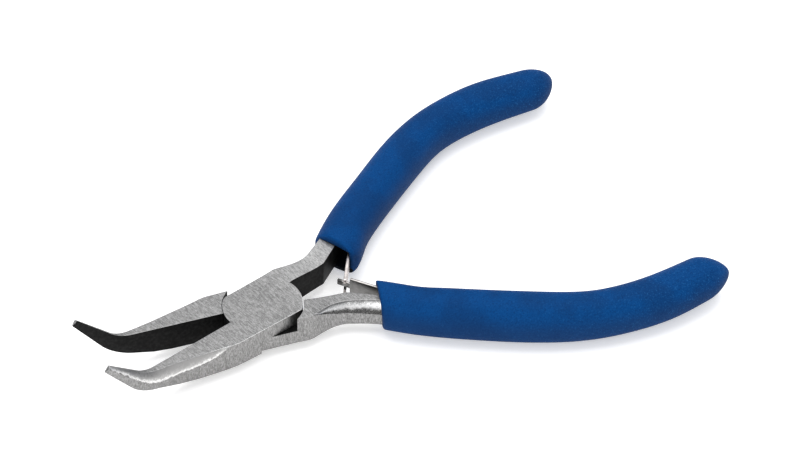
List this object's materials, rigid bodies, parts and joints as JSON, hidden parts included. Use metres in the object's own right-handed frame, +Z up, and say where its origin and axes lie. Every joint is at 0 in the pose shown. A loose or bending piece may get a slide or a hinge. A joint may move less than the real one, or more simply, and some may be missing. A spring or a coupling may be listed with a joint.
{
  "type": "bent needle nose pliers",
  "caption": "Small bent needle nose pliers: lap-jointed steel levers with long upturned jaws, interlocking leaf return springs and soft curved handle grips.",
  "frame": {"origin": "centre of the bounding box in plan, on the resting plane, with the handles held open by their springs", "axes": "+X from the nose towards the handles, +Y towards the upper lever's handle, +Z up, the way the tips bend"},
  "size_m": [0.1206, 0.0746, 0.0148],
  "materials": {
    "ground_steel": "belt ground, with black scale on the inner faces",
    "spring_steel": "rolled, satin",
    "grip_rubber": "matte, finely stippled"
  },
  "bodies": {
    "upper_body": {"upper_lever": "ground_steel", "pivot_rivet": "ground_steel", "fork_spring_rivet": "spring_steel", "far_handle_grip": "grip_rubber"},
    "lower_body": {"lower_lever": "ground_steel", "tongue_spring_rivet": "spring_steel", "near_handle_grip": "grip_rubber"},
    "fork_leaf_body": {"fork_leaf_spring": "spring_steel"},
    "tongue_leaf_body": {"tongue_leaf_spring": "spring_steel"}
  },
  "joints": [
    {"name": "handle_squeeze", "type": "hinge", "parent": "upper_body", "child": "lower_body", "pos_m": [-0.02502, 0, 0.00506], "axis": [0, 0, 1], "range_deg": [0, 21], "stiffness_Nm_per_rad": 0.6, "springref_deg": -5.73},
    {"name": "fork_leaf_flex", "type": "hinge", "parent": "upper_body", "child": "fork_leaf_body", "pos_m": [0.00399, 0.01338, 0.00506], "axis": [0, 0, 1], "range_deg": [-13.4, 0]},
    {"name": "tongue_leaf_flex", "type": "hinge", "parent": "lower_body", "child": "tongue_leaf_body", "pos_m": [0.00399, -0.01338, 0.00506], "axis": [0, 0, 1], "range_deg": [0, 13.4]}
  ],
  "couplings": [
    {"joint": "fork_leaf_flex", "follows": "handle_squeeze", "ratio": -0.634},
    {"joint": "tongue_leaf_flex", "follows": "handle_squeeze", "ratio": 0.634}
  ]
}
